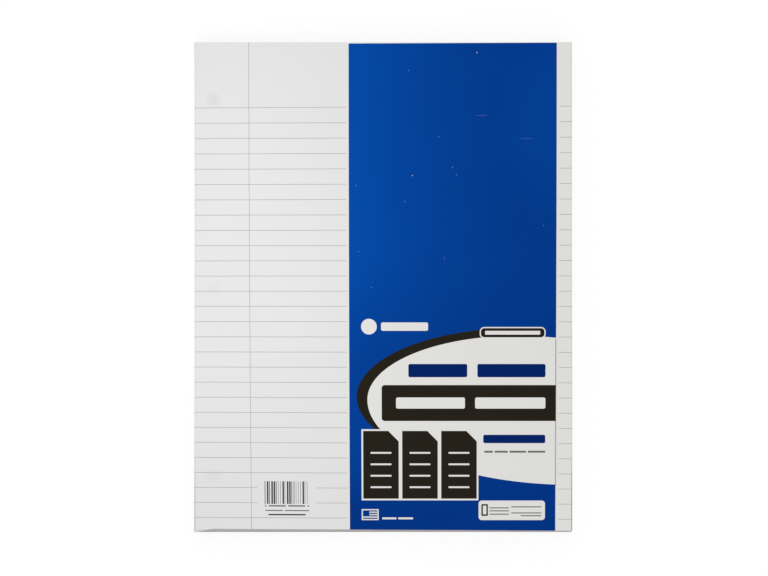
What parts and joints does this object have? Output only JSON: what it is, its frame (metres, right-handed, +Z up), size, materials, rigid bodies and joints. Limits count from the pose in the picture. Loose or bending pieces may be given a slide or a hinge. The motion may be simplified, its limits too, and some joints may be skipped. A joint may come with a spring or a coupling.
{
  "type": "pack of filler paper",
  "caption": "Flat pack of loose ruled sheets in a printed paper sleeve that is folded round the sides, glued along a lap on the back and open at the head and foot.",
  "frame": {"origin": "middle of the pack's outline in plan, on the plane of the glued lap that it lies on", "axes": "+X across the sheet towards the right edge of the printed front, +Y along the sheet towards its head, +Z up through the stack to the printed front"},
  "size_m": [0.2168, 0.2812, 0.0165],
  "materials": {
    "sheet_paper": "uncoated white writing paper, seen at its cut ends",
    "wrap_paper": "smooth white wrapping paper with a slight sheen",
    "rule_ink": "pale grey ink on the wrapping paper",
    "blue_ink": "solid blue ink on the wrapping paper, satin",
    "dark_ink": "solid brownish black ink on the wrapping paper, satin",
    "heading_ink": "deep blue ink on the wrapping paper",
    "small_ink": "grey ink on the wrapping paper"
  },
  "bodies": {
    "root": {"paper_stack": "sheet_paper", "sleeve": "wrap_paper", "ruled_lines": "rule_ink", "blue_panel": "blue_ink", "dark_print": "dark_ink", "page_marks": "dark_ink", "word_bars": "heading_ink", "barcode": "small_ink", "small_print": "small_ink"}
  },
  "joints": []
}
